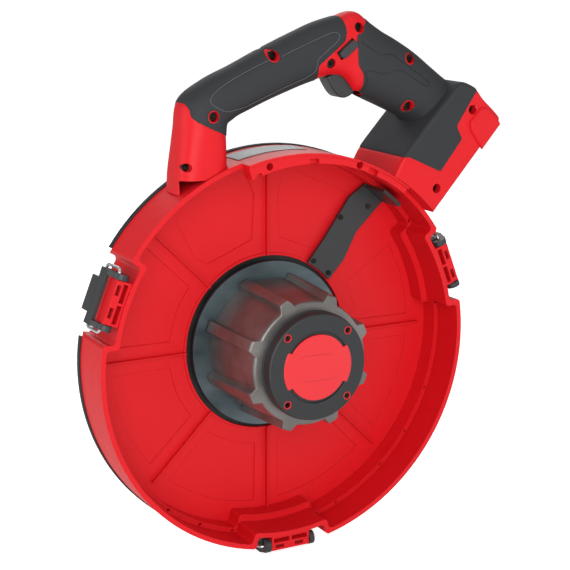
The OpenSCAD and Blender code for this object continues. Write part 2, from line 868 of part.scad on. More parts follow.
rear_housing();
bumper_ring();
rating_plate();
rear_motor_cover();
rear_cover_screws();
handle_front_shell();
handle_rear_shell();
grip_cover_front();
grip_cover_rear();
neck_cover_front();
neck_cover_rear();
handle_screws();
battery_rails();
battery_terminals();
trigger();
trigger_switch();
trigger_spring();
direction_selector();
control_board();
motor_leads();
wire_cover();
wire_cover_screws();
motor_mount();
mount_screws();
stator();
stator_windings();
rotor();
rotor_bearings();
planet_carrier();
sun_gear();
planet_gear(0);  // planet_gear_1
planet_gear(1);  // planet_gear_2
planet_gear(2);  // planet_gear_3
ring_gear();
hub_bearings();
hub_casting();
drive_flange();
flange_screws();
hub_cap();
hub_badge();
cap_screws();
latch_bail(0);  // latch_bail_1
latch_bail(1);  // latch_bail_2
latch_bail(2);  // latch_bail_3
latch_lever(0);  // latch_lever_1
latch_lever(1);  // latch_lever_2
latch_lever(2);  // latch_lever_3
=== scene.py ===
"""Drain snake machine, powered rear half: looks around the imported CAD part."""
import math

import bpy
import numpy as np
from mathutils import Matrix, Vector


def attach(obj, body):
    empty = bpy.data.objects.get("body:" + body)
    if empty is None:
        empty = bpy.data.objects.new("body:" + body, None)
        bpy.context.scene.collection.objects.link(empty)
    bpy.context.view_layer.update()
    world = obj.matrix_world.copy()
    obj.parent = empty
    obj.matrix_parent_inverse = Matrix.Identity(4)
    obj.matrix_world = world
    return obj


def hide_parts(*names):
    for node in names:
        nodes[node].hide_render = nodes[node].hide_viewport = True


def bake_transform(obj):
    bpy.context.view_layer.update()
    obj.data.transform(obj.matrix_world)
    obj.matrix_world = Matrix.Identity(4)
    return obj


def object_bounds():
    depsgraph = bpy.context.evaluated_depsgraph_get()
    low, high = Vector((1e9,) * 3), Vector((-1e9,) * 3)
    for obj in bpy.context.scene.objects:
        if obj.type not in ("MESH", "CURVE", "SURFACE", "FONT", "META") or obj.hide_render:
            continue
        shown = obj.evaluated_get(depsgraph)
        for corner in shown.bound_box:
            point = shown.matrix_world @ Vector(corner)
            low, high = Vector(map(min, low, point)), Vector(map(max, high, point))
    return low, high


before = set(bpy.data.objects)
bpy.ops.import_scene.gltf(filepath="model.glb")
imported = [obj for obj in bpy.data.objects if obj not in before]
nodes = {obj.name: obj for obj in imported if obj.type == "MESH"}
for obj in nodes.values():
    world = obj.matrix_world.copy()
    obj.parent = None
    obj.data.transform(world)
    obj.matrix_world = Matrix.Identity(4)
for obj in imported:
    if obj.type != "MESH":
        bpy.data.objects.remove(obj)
cad_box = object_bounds()
MM = 0.001
TAU = 2 * math.pi


# ---------- camera, lights, floor ----------

AMBIENT = 0.33
# Each light is (name, place, side of its square, power)
LIGHTS = [("key", (-0.65, -1.55, 0.5), 1.3, 24), ("fill", (1.2, -1.0, 0.2), 1.2, 4),
          ("side", (-1.5, 0.3, 0.45), 1.0, 7), ("top", (0.0, -0.3, 1.5), 0.9, 3.5),
          ("back", (0.5, 1.5, 0.8), 1.0, 7)]


def set_camera():
    """The camera looks along -c; r is to its right and u up. It stands at D c - x r - y u."""
    azimuth, elevation, roll = (math.radians(v) for v in (28.55, 13.15, 0.17))
    distance, aside, above = 1.2, 0.006, -0.0563
    c = np.array([-math.sin(azimuth) * math.cos(elevation), -math.cos(azimuth) * math.cos(elevation),
                  math.sin(elevation)])
    r0 = np.array([math.cos(azimuth), -math.sin(azimuth), 0.0])
    u0 = np.cross(c, r0)
    r = r0 * math.cos(roll) + u0 * math.sin(roll)
    u = u0 * math.cos(roll) - r0 * math.sin(roll)
    place = distance * c - aside * r - above * u
    data = bpy.data.cameras.new("camera")
    data.sensor_width = 36
    data.lens = 93.94
    data.clip_start = 0.05
    data.clip_end = 50
    camera = bpy.data.objects.new("camera", data)
    bpy.context.scene.collection.objects.link(camera)
    camera.matrix_world = Matrix([[r[i], u[i], c[i], place[i]] for i in range(3)] + [[0, 0, 0, 1]])
    bpy.context.scene.camera = camera


def area_light(name, place, target, size, power):
    """A square soft light at place, turned to face target."""
    data = bpy.data.lights.new(name, "AREA")
    data.shape = "SQUARE"
    data.size = size
    data.energy = power
    light = bpy.data.objects.new(name, data)
    bpy.context.scene.collection.objects.link(light)
    back = np.array(place, float) - np.array(target, float)
    back /= np.linalg.norm(back)
    side = np.cross([0.0, 0.0, 1.0], back)
    side /= np.linalg.norm(side)
    up = np.cross(back, side)
    light.matrix_world = Matrix([[side[i], up[i], back[i], place[i]] for i in range(3)] + [[0, 0, 0, 1]])


def lit_or_seen(tree, lit, seen):
    """A socket that is one value for the light on the object and another for what the camera sees."""
    rate = tree.nodes.new("ShaderNodeMapRange")
    rate.inputs["To Min"].default_value = lit
    rate.inputs["To Max"].default_value = seen
    tree.links.new(tree.nodes.new("ShaderNodeLightPath").outputs["Is Camera Ray"], rate.inputs["Value"])
    return rate.outputs[0]


def set_studio():
    """A white surround seen by the camera, a dimmer one that lights the object, and soft lights."""
    world = bpy.data.worlds.new("studio")
    world.use_nodes = True
    tree = world.node_tree
    sky = tree.nodes["Background"]
    sky.inputs["Color"].default_value = (1, 1, 1, 1)
    tree.links.new(lit_or_seen(tree, AMBIENT, 1.02), sky.inputs["Strength"])
    bpy.context.scene.world = world
    middle = (0.0, 0.0, 0.05)
    for name, place, size, power in LIGHTS:
        area_light(name, place, middle, size, power)


def set_floor():
    """A flat disc of rings under the object, lifted to the sky's tone so that it fades into it."""
    low = cad_box[0][2]
    radii, sides = np.array([0.5, 2.0, 8.0, 30.0]), 64
    turn = np.arange(sides) / sides * TAU
    points = np.stack([np.outer(radii, np.cos(turn)).ravel(), np.outer(radii, np.sin(turn)).ravel(),
                       np.full(len(radii) * sides, low)], 1)
    points = np.vstack([points, [[0, 0, low]]])
    pairs = [(a, (a + 1) % sides) for a in range(sides)]
    inner = [(a, b, len(radii) * sides) for a, b in pairs]
    outer = [(k * sides + a, (k + 1) * sides + a, (k + 1) * sides + b, k * sides + b)
             for k in range(len(radii) - 1) for a, b in pairs]
    mesh = bpy.data.meshes.new("floor")
    mesh.from_pydata(points.tolist(), [], inner + outer)
    floor = bpy.data.objects.new("floor", mesh)
    bpy.context.scene.collection.objects.link(floor)
    material = bpy.data.materials.new("pale_floor")
    material.use_nodes = True
    tree = material.node_tree
    shader = tree.nodes["Principled BSDF"]
    shader.inputs["Base Color"].default_value = (0.9, 0.9, 0.9, 1)
    shader.inputs["Roughness"].default_value = 0.9
    shader.inputs["Emission Color"].default_value = (1, 1, 1, 1)
    tree.links.new(lit_or_seen(tree, 0.1, 0.75), shader.inputs["Emission Strength"])
    mesh.materials.append(material)


# ---------- shared surface effects ----------

def new_group(name, inputs, outputs):
    """An empty shader group with float sockets, and its inner nodes and links."""
    group = bpy.data.node_groups.new(name, "ShaderNodeTree")
    for label, kind, value in inputs:
        socket = group.interface.new_socket(label, in_out="INPUT", socket_type=kind)
        socket.default_value = value
    for label, kind in outputs:
        group.interface.new_socket(label, in_out="OUTPUT", socket_type=kind)
    return group, group.nodes.new("NodeGroupInput"), group.nodes.new("NodeGroupOutput")


def math_node(tree, operation, *values):
    """The result of an operation on numbers and sockets, as a socket."""
    node = tree.nodes.new("ShaderNodeMath")
    node.operation = operation
    for socket, value in zip(node.inputs, values):
        if isinstance(value, (int, float)):
            socket.default_value = value
        else:
            tree.links.new(value, socket)
    return node.outputs[0]


def build_grain():
    """Moulded grain: fine cells and finer noise, added as a height."""
    group, inlet, outlet = new_group("moulded_grain", [("Vector", "NodeSocketVector", (0, 0, 0)),
                                     ("Scale", "NodeSocketFloat", 1500.0)], [("Height", "NodeSocketFloat")])
    cells = group.nodes.new("ShaderNodeTexVoronoi")
    cells.feature = "SMOOTH_F1"
    fine = group.nodes.new("ShaderNodeTexNoise")
    fine.inputs["Detail"].default_value = 3
    for node, ratio in ((cells, 1.0), (fine, 2.3)):
        group.links.new(inlet.outputs["Vector"], node.inputs["Vector"])
        group.links.new(math_node(group, "MULTIPLY", inlet.outputs["Scale"], ratio), node.inputs["Scale"])
    half = math_node(group, "MULTIPLY", fine.outputs[0], 0.5)
    group.links.new(math_node(group, "ADD", cells.outputs["Distance"], half), outlet.inputs["Height"])
    return group


def build_tone():
    """Slow drift of tone over the surface, about 1 in the middle, and a mask from 0 to 1."""
    group, inlet, outlet = new_group("tone_drift", [("Vector", "NodeSocketVector", (0, 0, 0)),
                                     ("Scale", "NodeSocketFloat", 18.0), ("Amount", "NodeSocketFloat", 0.1)],
                                     [("Factor", "NodeSocketFloat"), ("Mask", "NodeSocketFloat")])
    noise = group.nodes.new("ShaderNodeTexNoise")
    noise.inputs["Detail"].default_value = 4
    group.links.new(inlet.outputs["Vector"], noise.inputs["Vector"])
    group.links.new(inlet.outputs["Scale"], noise.inputs["Scale"])
    swing = math_node(group, "SUBTRACT", noise.outputs[0], 0.5)
    swing = math_node(group, "MULTIPLY", swing, inlet.outputs["Amount"])
    group.links.new(math_node(group, "ADD", swing, 1.0), outlet.inputs["Factor"])
    group.links.new(noise.outputs[0], outlet.inputs["Mask"])
    return group


def build_streaks():
    """Long brushed or rolled streaks across the surface, as a height and a mask."""
    group, inlet, outlet = new_group("metal_streaks", [("Vector", "NodeSocketVector", (0, 0, 0)),
                                     ("Scale", "NodeSocketFloat", 60.0)],
                                     [("Mask", "NodeSocketFloat"), ("Height", "NodeSocketFloat")])
    for socket, stretch, scale in (("Mask", (0.35, 1.0, 1.0), 1.0), ("Height", (0.12, 6.0, 6.0), 4.0)):
        mapping = group.nodes.new("ShaderNodeMapping")
        mapping.inputs["Rotation"].default_value = (0.3, 0.5, 0.9)
        mapping.inputs["Scale"].default_value = stretch
        noise = group.nodes.new("ShaderNodeTexNoise")
        noise.inputs["Detail"].default_value = 5
        group.links.new(inlet.outputs["Vector"], mapping.inputs["Vector"])
        group.links.new(mapping.outputs["Vector"], noise.inputs["Vector"])
        group.links.new(math_node(group, "MULTIPLY", inlet.outputs["Scale"], scale), noise.inputs["Scale"])
        group.links.new(noise.outputs[0], outlet.inputs[socket])
    return group


GRAIN, TONE, STREAKS = build_grain(), build_tone(), build_streaks()


def srgb(text):
    """A #RRGGBB colour as linear red, green, blue."""
    values = np.array([int(text[i:i + 2], 16) for i in (1, 3, 5)]) / 255
    return tuple(np.where(values <= 0.04045, values / 12.92, ((values + 0.055) / 1.055) ** 2.4))


def place_group(tree, group, vector, **values):
    """A shader group as a node, with its vector linked and its other inputs set."""
    node = tree.nodes.new("ShaderNodeGroup")
    node.node_tree = group
    tree.links.new(vector, node.inputs["Vector"])
    for label, value in values.items():
        node.inputs[label].default_value = value
    return node


def tinted(tree, colour, factor):
    """The colour times a varying factor, as a socket."""
    mix = tree.nodes.new("ShaderNodeMix")
    mix.data_type = "RGBA"
    mix.blend_type = "MULTIPLY"
    mix.inputs[0].default_value = 1
    mix.inputs[6].default_value = (*colour, 1)
    grey = tree.nodes.new("ShaderNodeCombineColor")
    for socket in grey.inputs:
        tree.links.new(factor, socket)
    tree.links.new(grey.outputs[0], mix.inputs[7])
    return mix.outputs[2]


def new_material(name):
    """A material with its nodes, its shader and the object's coordinates."""
    material = bpy.data.materials.new(name)
    material.use_nodes = True
    tree = material.node_tree
    where = tree.nodes.new("ShaderNodeTexCoord").outputs["Object"]
    return material, tree, tree.nodes["Principled BSDF"], where


def relief(tree, height, strength, depth, edge):
    """A height as bumps on the shader, over edges softened by a radius."""
    bump = tree.nodes.new("ShaderNodeBump")
    bump.inputs["Strength"].default_value = strength
    bump.inputs["Distance"].default_value = depth
    tree.links.new(height, bump.inputs["Height"])
    if edge:
        soft = tree.nodes.new("ShaderNodeBevel")
        soft.samples = 4
        soft.inputs["Radius"].default_value = edge
        tree.links.new(soft.outputs["Normal"], bump.inputs["Normal"])
    tree.links.new(bump.outputs["Normal"], tree.nodes["Principled BSDF"].inputs["Normal"])


def moulded(name, colour, rough, grain=1500, depth=0.00002, drift=0.08, edge=0.0004, coat=0.0, specular=0.5):
    """Moulded plastic or rubber: drifting tone, patchy roughness, grain, and softened edges."""
    material, tree, shader, where = new_material(name)
    tone = place_group(tree, TONE, where, Scale=22.0, Amount=drift)
    tree.links.new(tinted(tree, srgb(colour), tone.outputs["Factor"]), shader.inputs["Base Color"])
    patch = place_group(tree, TONE, where, Scale=90.0, Amount=0.25)
    tree.links.new(math_node(tree, "MULTIPLY", patch.outputs["Factor"], rough), shader.inputs["Roughness"])
    texture = place_group(tree, GRAIN, where, Scale=float(grain))
    relief(tree, texture.outputs["Height"], 0.6, depth, edge)
    shader.inputs["Coat Weight"].default_value = coat
    shader.inputs["Coat Roughness"].default_value = 0.25
    shader.inputs["Specular IOR Level"].default_value = specular
    return material


def metal(name, colour, dark, rough, scale=60, depth=0.00001, edge=0.0004, amount=1.0):
    """Metal: two tones mixed by streaks, streaked roughness, fine scratches, and softened edges."""
    material, tree, shader, where = new_material(name)
    streaks = place_group(tree, STREAKS, where, Scale=float(scale))
    mix = tree.nodes.new("ShaderNodeMix")
    mix.data_type = "RGBA"
    mix.inputs[6].default_value = (*srgb(dark), 1)
    mix.inputs[7].default_value = (*srgb(colour), 1)
    ramp = tree.nodes.new("ShaderNodeMapRange")
    ramp.inputs["From Min"].default_value = 0.35
    ramp.inputs["From Max"].default_value = 0.65
    tree.links.new(streaks.outputs["Mask"], ramp.inputs["Value"])
    tree.links.new(ramp.outputs[0], mix.inputs[0])
    tree.links.new(mix.outputs[2], shader.inputs["Base Color"])
    rate = math_node(tree, "MULTIPLY_ADD", streaks.outputs["Height"], rough * 0.5, rough * 0.75)
    tree.links.new(rate, shader.inputs["Roughness"])
    relief(tree, streaks.outputs["Height"], 0.5, depth, edge)
    shader.inputs["Metallic"].default_value = amount
    return material


RED = moulded("red_moulding", "#D1111B", 0.48, grain=900, depth=0.000012, drift=0.06, edge=0.0006,
              specular=0.25)
BADGE_RED = moulded("badge_red", "#D8111F", 0.32, grain=600, depth=0.000004, drift=0.03, coat=0.4)
OVERMOULD = moulded("soft_overmould", "#2C2E31", 0.66, grain=1400, depth=0.00004, drift=0.1, specular=0.3)
BUMPER = moulded("bumper_rubber", "#17181A", 0.7, grain=900, depth=0.00003, edge=0.0008)
DARK = moulded("dark_moulding", "#2C2E30", 0.45, grain=1100)
CAP = moulded("cap_moulding", "#212325", 0.45, grain=1100)
BLACK = moulded("black_moulding", "#101113", 0.5, grain=1200)
STRIP = moulded("strip_moulding", "#2B2D2F", 0.38, grain=800, depth=0.00001, drift=0.12)
BOARD = moulded("circuit_board", "#1E5B34", 0.35, grain=500, drift=0.3)
CASTING = metal("cast_aluminium", "#7F7C79", "#686562", 0.34, scale=40, depth=0.000012, amount=0.6)
# The motor mount's near-black colour is painted shade: it darkens the gap seen round the drive flange.
MOUNT_PAINTED_SHADE = metal("mount_steel_painted_shade", "#2E2C2C", "#1C1B1B", 0.5, scale=60, edge=0.0, amount=0.4)
FLANGE = metal("zinc_flange", "#66757A", "#3F4B50", 0.38, scale=32, depth=0.000006, amount=0.75)
ZINC = metal("zinc_wire", "#D5D9DC", "#A9AEB1", 0.24, scale=120, edge=0.0, amount=0.8)
SCREW = metal("dark_screw", "#3A3833", "#201F1D", 0.3, scale=150)
GEAR = metal("cut_steel", "#A4A8AB", "#7F8386", 0.3, scale=100)
PLATE = metal("plain_plate", "#77797B", "#5E6062", 0.45, scale=60, amount=0.5)
COPPER = metal("enamelled_copper", "#C0713A", "#8C4A22", 0.35, scale=200)
BRASS = metal("contact_brass", "#D9B45A", "#B08A35", 0.3, scale=120)
WELL_RED = moulded("well_red", "#C9101C", 0.4, grain=700, depth=0.000005, drift=0.05, edge=0.0)
# Dark red for the badge lines is painted shade: the beads stand for grooves, and their colour paints the
# groove's shade.
BADGE_GROOVE_SHADE = moulded("badge_line_painted_groove_shade", "#8E0D18", 0.45, grain=700, depth=0.000004, drift=0.05, edge=0.0)
# Light grey for the grip panel line is a painted highlight along its raised edge.
LINE_PAINTED_HIGHLIGHT = moulded("line_grey_painted_highlight", "#5C5F63", 0.5, grain=900, depth=0.000005, drift=0.1, edge=0.0)
# Near black for the neck lines is painted shade that makes the raised beads read as grooves.
LINE_PAINTED_GROOVE_SHADE = moulded("line_dark_painted_groove_shade", "#17181A", 0.5, grain=900, depth=0.000005, drift=0.1, edge=0.0)

FINISHES = {
    RED: ["rear_housing", "handle_front_shell", "handle_rear_shell"],
    BADGE_RED: ["hub_badge"],
    OVERMOULD: ["grip_cover_front", "grip_cover_rear", "neck_cover_front", "neck_cover_rear"],
    BUMPER: ["bumper_ring"],
    DARK: ["trigger", "direction_selector", "hub_cap", "latch_lever_1", "latch_lever_2", "latch_lever_3",
           "battery_rails", "rear_motor_cover"],
    BLACK: ["trigger_switch", "motor_leads"],
    STRIP: ["wire_cover"],
    BOARD: ["control_board"],
    CASTING: ["hub_casting", "planet_carrier"],
    MOUNT_PAINTED_SHADE: ["motor_mount"],
    FLANGE: ["drive_flange"],
    ZINC: ["latch_bail_1", "latch_bail_2", "latch_bail_3", "trigger_spring"],
    SCREW: ["handle_screws", "cap_screws", "mount_screws", "wire_cover_screws", "rear_cover_screws",
            "flange_screws", "rotor_bearings", "hub_bearings"],
    GEAR: ["sun_gear", "planet_gear_1", "planet_gear_2", "planet_gear_3", "ring_gear", "stator", "rotor"],
    PLATE: ["rating_plate"],
    COPPER: ["stator_windings"],
    BRASS: ["battery_terminals"],
}
for material, names in FINISHES.items():
    for name in names:
        nodes[name].data.materials.clear()
        nodes[name].data.materials.append(material)


# ---------- surfaces ----------

def from_table(table, count):
    """Rows of a table joined by a smooth cubic curve, taken at even steps along its length.

    Each value follows a Hermite cubic whose slopes are those of the table at its own spacing."""
    table = np.array(table, float)
    reach = np.r_[0, np.cumsum(np.linalg.norm(np.diff(table[:, :2], axis=0), axis=1))]
    slope = np.gradient(table, reach, axis=0)
    t = np.linspace(0, reach[-1], count)
    k = np.clip(np.searchsorted(reach, t, side="right") - 1, 0, len(reach) - 2)
    h = (reach[k + 1] - reach[k])[:, None]
    s = ((t - reach[k]) / h[:, 0])[:, None]
    return ((2 * s ** 3 - 3 * s ** 2 + 1) * table[k] + (s ** 3 - 2 * s ** 2 + s) * h * slope[k]
            + (3 * s ** 2 - 2 * s ** 3) * table[k + 1] + (s ** 3 - s ** 2) * h * slope[k + 1])


def grid_triangles(rows, columns, wrap=False):
    """Two triangles for each cell of a grid whose points are stored row by row."""
    i, j = np.meshgrid(np.arange(rows - 1), np.arange(columns if wrap else columns - 1), indexing="ij")
    a, b = i * columns + j, i * columns + (j + 1) % columns
    c, d = a + columns, b + columns
    return np.concatenate([np.stack([a, b, d], -1).reshape(-1, 3), np.stack([a, d, c], -1).reshape(-1, 3)])


def rounded(outline, passes=3):
    """A closed outline with each corner cut at a quarter of both sides, several times over."""
    outline = np.array(outline, float)
    for _ in range(passes):
        after = np.roll(outline, -1, axis=0)
        outline = np.stack([0.75 * outline + 0.25 * after, 0.25 * outline + 0.75 * after], 1).reshape(-1, 2)
    return outline


def resampled(path, step, closed=True):
    """A path, closed unless said otherwise, with points about step apart along it."""
    path = np.array(path, float)
    if closed:
        path = np.vstack([path, path[:1]])
    reach = np.r_[0, np.cumsum(np.linalg.norm(np.diff(path, axis=0), axis=1))]
    t = np.linspace(0, reach[-1], max(8 if closed else 4, int(reach[-1] / step)), endpoint=not closed)
    return np.stack([np.interp(t, reach, path[:, 0]), np.interp(t, reach, path[:, 1])], 1)


def inward_normals(outline):
    """Unit directions into a closed outline at its points, and 1 if it runs counter-clockwise, else -1."""
    after = np.roll(outline, -1, 0)
    turn = 1 if np.sum(outline[:, 0] * after[:, 1] - after[:, 0] * outline[:, 1]) > 0 else -1
    ahead = after - np.roll(outline, 1, 0)
    ahead /= np.linalg.norm(ahead, axis=1)[:, None]
    return np.stack([-ahead[:, 1], ahead[:, 0]], 1) * turn, turn


def outline_distance(outline, x, z):
    """Distance in the plane from each point to a closed outline, negative inside it."""
    a = np.array(outline, float)
    b = np.roll(a, -1, axis=0)
    best = np.full(x.shape, 1e9)
    inside = np.zeros(x.shape, bool)
    for (ax, az), (bx, bz) in zip(a, b):
        ex, ez = bx - ax, bz - az
        t = np.clip(((x - ax) * ex + (z - az) * ez) / max(ex * ex + ez * ez, 1e-12), 0, 1)
        best = np.minimum(best, np.hypot(x - ax - t * ex, z - az - t * ez))
        crosses = ((az > z) != (bz > z)) & (x < ax + (z - az) * ex / (ez if abs(ez) > 1e-12 else 1e-12))
        inside ^= crosses
    return np.where(inside, -best, best)


def trimmed(points, triangles, distance):
    """The part of a surface where distance is below zero.

    A triangle that the zero line crosses is cut where distance, taken as linear along its edges, is zero."""
    sides = np.concatenate([triangles[:, [0, 1]], triangles[:, [1, 2]], triangles[:, [2, 0]]])
    low, high = sides.min(1), sides.max(1)
    crossed = (distance[low] < 0) != (distance[high] < 0)
    keys = np.unique(low[crossed] * len(points) + high[crossed])
    low, high = keys // len(points), keys % len(points)
    share = (distance[low] / (distance[low] - distance[high]))[:, None]
    cuts = points[low] + (points[high] - points[low]) * share

    def cut(a, b):
        return len(points) + np.searchsorted(keys, np.minimum(a, b) * len(points) + np.maximum(a, b))

    inside = distance[triangles] < 0
    kept = [triangles[inside.all(1)]]
    for corner in range(3):
        t = np.roll(triangles, -corner, axis=1)
        alone = np.roll(inside, -corner, axis=1)
        a, b, c = t[alone[:, 0] & ~alone[:, 1] & ~alone[:, 2]].T
        kept.append(np.stack([a, cut(a, b), cut(c, a)], 1))
        a, b, c = t[~alone[:, 0] & alone[:, 1] & alone[:, 2]].T
        kept.append(np.stack([cut(a, b), b, c], 1))
        kept.append(np.stack([cut(a, b), c, cut(c, a)], 1))
    triangles = np.concatenate(kept)
    points = np.vstack([points, cuts])
    used, again = np.unique(triangles, return_inverse=True)
    return points[used], again.reshape(-1, 3)


def joined(*parts):
    """Several (points, triangles) surfaces as one."""
    starts = np.cumsum([0] + [len(p) for p, _ in parts[:-1]])
    return np.vstack([p for p, _ in parts]), np.vstack([t + k for (_, t), k in zip(parts, starts)])


def welded(surface):
    """A surface with its seams and poles closed: equal points made one, empty triangles dropped."""
    points, faces = surface
    keys, first, again = np.unique(np.round(points, 3), axis=0, return_index=True, return_inverse=True)
    faces = again.reshape(-1)[faces]
    full = (faces[:, 0] != faces[:, 1]) & (faces[:, 1] != faces[:, 2]) & (faces[:, 2] != faces[:, 0])
    return np.asarray(points)[first], faces[full]


def piece(name, surface, material, body, stands_for=(), sharp=35):
    """A piece from a surface in millimetres, with its finish, body and the nodes it stands for.

    A body given as (body, body, start, end) leaves the piece unattached, its placement baked in; the bodies
    and ends in it are not used."""
    points, faces = welded(surface)
    mesh = bpy.data.meshes.new(name)
    mesh.vertices.add(len(points))
    mesh.vertices.foreach_set("co", (np.asarray(points) * MM).astype(np.float32).ravel())
    mesh.loops.add(faces.size)
    mesh.loops.foreach_set("vertex_index", faces.astype(np.int32).ravel())
    mesh.polygons.add(len(faces))
    mesh.polygons.foreach_set("loop_start", np.arange(0, faces.size, faces.shape[1], dtype=np.int32))
    mesh.update(calc_edges=True)
    mesh.validate()
    mesh.shade_smooth()
    mesh.set_sharp_from_angle(angle=math.radians(sharp))
    mesh.materials.append(material)
    made = bpy.data.objects.new(name, mesh)
    bpy.context.scene.collection.objects.link(made)
    if isinstance(body, tuple):
        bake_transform(made)
    else:
        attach(made, body)
    if stands_for:
        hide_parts(*stands_for)


# ---------- handle ----------

MID = 22.0          # depth of the handle's middle plane
TRIM = 1.15         # taken off the handle's thickness
DISH_R = 165.15     # radius at which the handle's skin stops
FOOT_HALF = 36      # half the width of the battery foot
# Rows of x, z, tilt, half thickness, half width and power of the section
HANDLE = [
    [-73.4, 136, 0, 22.6, 20.5, 3.3], [-73.0, 150, 0, 22.2, 20.5, 3.3], [-71.6, 172, 0, 21.0, 20.2, 2.9],
    [-70.6, 184, -6, 20.7, 20, 2.5], [-68.2, 197, -27, 21.6, 20, 2.4], [-56.0, 206, -52, 19.8, 20, 2.3],
    [-35.7, 215, -65, 19.2, 20, 2.25], [-9.4, 226, -67, 20.2, 20, 2.25], [19.6, 236.6, -71, 21.6, 20, 2.25],
    [36, 241.5, -76, 23, 20, 2.3], [50, 242.5, -86, 25.8, 20, 2.4], [64, 238.4, -95, 33.0, 20.3, 2.5],
    [70, 234.8, -101, 30.4, 20.5, 2.45], [79, 229.6, -108, 28.6, 20.8, 2.4], [91, 223.6, -115, 28, 21, 2.3],
    [108, 214.6, -119, 26.8, 21.5, 2.25],
    [123, 205, -126, 25, 23, 2.3], [134, 197, -132, 24.4, 26, 2.5], [140, 192, -134, 24.6, 29, 3]]
GRIP_ZONE = [[-100, 222], [-86.7, 204.9], [-85.2, 201.9], [-84.9, 195.3], [-80.4, 191.5], [-68.8, 185.4],
             [-57.2, 180.6], [-30, 168], [27.5, 200], [27.9, 218.3], [24.3, 229.8], [48.2, 248.8],
             [50.3, 255.7], [50.4, 268.4], [52, 292], [-40, 270]]
NECK_ZONE = [[84, 290], [72.6, 265], [68.6, 262], [59.6, 256.2], [58.1, 249.3], [59.8, 229.3], [65.1, 221.9],
             [66.7, 213.4], [65.5, 204.9], [64, 190], [85, 150], [93.9, 155.5], [99.7, 155.2],
             [130, 141.4], [150.7, 167.3], [145.1, 178.1], [162.8, 204.7], [178, 222], [150, 250]]
FOOT_CORNER, FOOT_TURN = (125.9, 109.4), 48.5
TRIGGER_AT, TRIGGER_TURN = (53, 212), 25
SELECTOR_AT, SELECTOR_TURN = (49.2, 242.2), 38
TRIGGER_SLOT = 9.2  # half the width of the trigger's slot
FOOT_OUTLINE = [[-14, 0], [97, 0], [97, 27], [99, 30], [99, 36], [95, 52], [48, 54], [13, 54.5], [-14, 48]]
SCREWS = np.array([[-89, 157.5], [-67.7, 195.2], [-14.3, 239], [61.2, 258.8], [35.6, 231.7],
                   [109.6, 232.7], [108.7, 194.7], [160, 190.8], [126.5, 128.1]])
SCREW_DEPTH = [9.5, 5, 9.5, 8, 5.5, 7, 6.5, -7.5, -7.5]
HEAD = 2.6          # height of a screw's head
WELL_R = np.array([3.3] + [3.9] * 8)


def foot_place(u, w):
    """Foot frame, u along the battery face and w into the foot, to x and z."""
    c, s = math.cos(math.radians(FOOT_TURN)), math.sin(math.radians(FOOT_TURN))
    return FOOT_CORNER[0] + u * c - w * s, FOOT_CORNER[1] + u * s + w * c


def handle_skin(front, rows=230, columns=84):
    """Half of the handle's skin: superellipse sections carried along its middle line.

    A section at angle a has u = thickness * sgn(cos a) |cos a|^(2/p) in the handle's plane
    and v = width * |sin a|^(2/p) across it."""
    x, z, tilt, thick, wide, power = from_table(HANDLE, rows).T[:, :, None]
    a = np.linspace(0, math.pi, columns)[None, :]
    c, s = np.cos(a), np.abs(np.sin(a))
    u = (thick - TRIM) * np.sign(c) * np.abs(c) ** (2 / power)
    v = wide * s ** (2 / power)
    t = np.radians(tilt)
    y = MID - v if front else MID + v
    points = np.stack([x + u * np.cos(t), y, z + u * np.sin(t)], -1).reshape(-1, 3)
    triangles = grid_triangles(rows, columns)
    return points, (triangles[:, ::-1] if front else triangles)


def eased(loop, passes=3):
    """A closed loop with each point moved towards the middle of its neighbours."""
    for _ in range(passes):
        loop = (np.roll(loop, 1, 0) + 2 * loop + np.roll(loop, -1, 0)) / 4
    return loop


def slab_surface(outline, y0, y1, radius, step=1.2, rings=40, steps=5):
    """A closed outline in x and z as a slab from the middle depth y0 to the face y1, edge rounded.

    The profile carried round the outline is a quarter circle; the face is filled with shrinking copies."""
    outline = resampled(outline, step)
    inward, turn = inward_normals(outline)
    face = 1 if y1 > y0 else -1
    loops, depths = [outline], [y0]
    walls = max(2, int(abs(y1 - y0 - face * radius) / 3))
    for k in range(1, walls + 1):
        loops.append(outline)
        depths.append(y0 + (y1 - face * radius - y0) * k / walls)
    for k in range(1, steps + 1):
        b = math.pi / 2 * k / steps
        loops.append(outline + inward * radius * (1 - math.cos(b)))
        depths.append(y1 - face * radius * (1 - math.sin(b)))
    rim = loops[-1]
    for k in range(1, rings + 1):
        rim = eased(rim)
        loops.append(rim + (rim.mean(0) - rim) * k / rings)
        depths.append(y1)
    n = len(outline)
    points = np.stack([np.concatenate([p[:, 0] for p in loops]), np.repeat(depths, n),
                       np.concatenate([p[:, 1] for p in loops])], 1)
    triangles = grid_triangles(len(loops), n, wrap=True)
    flip = (turn > 0) == (face > 0)
    return points, (triangles[:, ::-1] if flip else triangles)


def foot_edge():
    """The foot's outline in x and z, with its corners rounded."""
    return np.stack(foot_place(*rounded(resampled(FOOT_OUTLINE, 9), 2).T), 1)


def foot_sole(front, rows=90, columns=24):
    """The strip of a round wall, by angle and depth, that closes the foot underneath."""
    width = FOOT_HALF - 0.6
    a, y = np.meshgrid(np.radians(np.linspace(30, 68, rows)),
                       MID + np.linspace(0, -width if front else width, columns), indexing="ij")
    r = DISH_R + 0.05
    points = np.stack([r * np.cos(a), y, r * np.sin(a)], -1).reshape(-1, 3)
    triangles = grid_triangles(rows, columns)
    away = outline_distance(foot_edge(), points[:, 0], points[:, 2]) + 0.2
    away = np.maximum(away, handle_openings(points, front))
    return trimmed(points, triangles[:, ::-1] if front else triangles, away)


def foot_skin(front):
    """Half of the battery foot: its outline as a rounded slab."""
    return slab_surface(foot_edge(), MID, MID - FOOT_HALF if front else MID + FOOT_HALF, 2.8)


